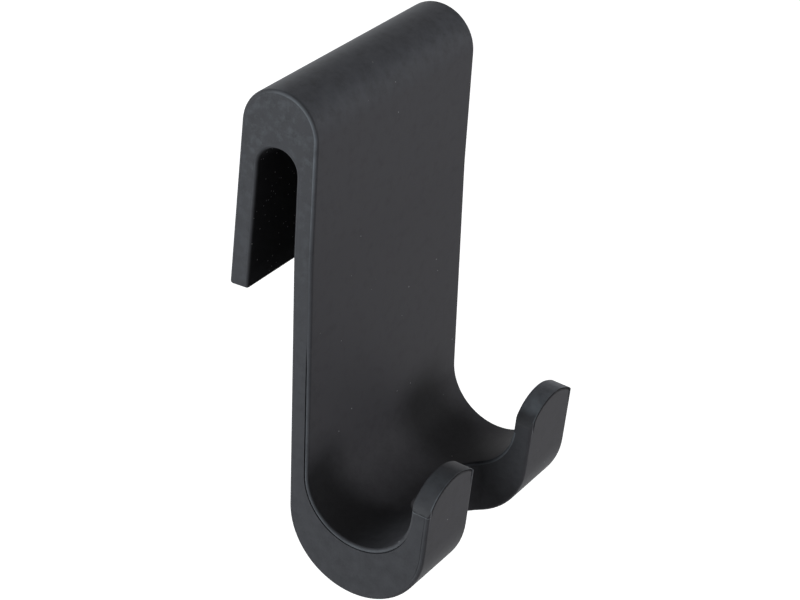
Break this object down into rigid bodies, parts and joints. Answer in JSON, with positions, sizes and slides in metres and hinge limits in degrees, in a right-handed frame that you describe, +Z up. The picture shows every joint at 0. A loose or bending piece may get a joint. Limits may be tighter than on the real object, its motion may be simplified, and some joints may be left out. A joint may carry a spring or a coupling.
{
  "type": "over-door double hook",
  "caption": "Soft moulded hook: a rounded clip hangs over a panel's top edge, a flat leg runs down it, and a deep cradle ends in crowned prongs with a notch between them.",
  "frame": {"origin": "top front edge of the panel that the hook hangs on, at mid width: on the back of the leg, level with the roof of the slot", "axes": "+X along the panel, -Y away from the panel on the hook's side, +Z up"},
  "size_m": [0.05, 0.0424, 0.0929],
  "materials": {
    "soft_black": "matte moulded silicone rubber"
  },
  "bodies": {
    "root": {"double_hook": "soft_black"}
  },
  "joints": []
}
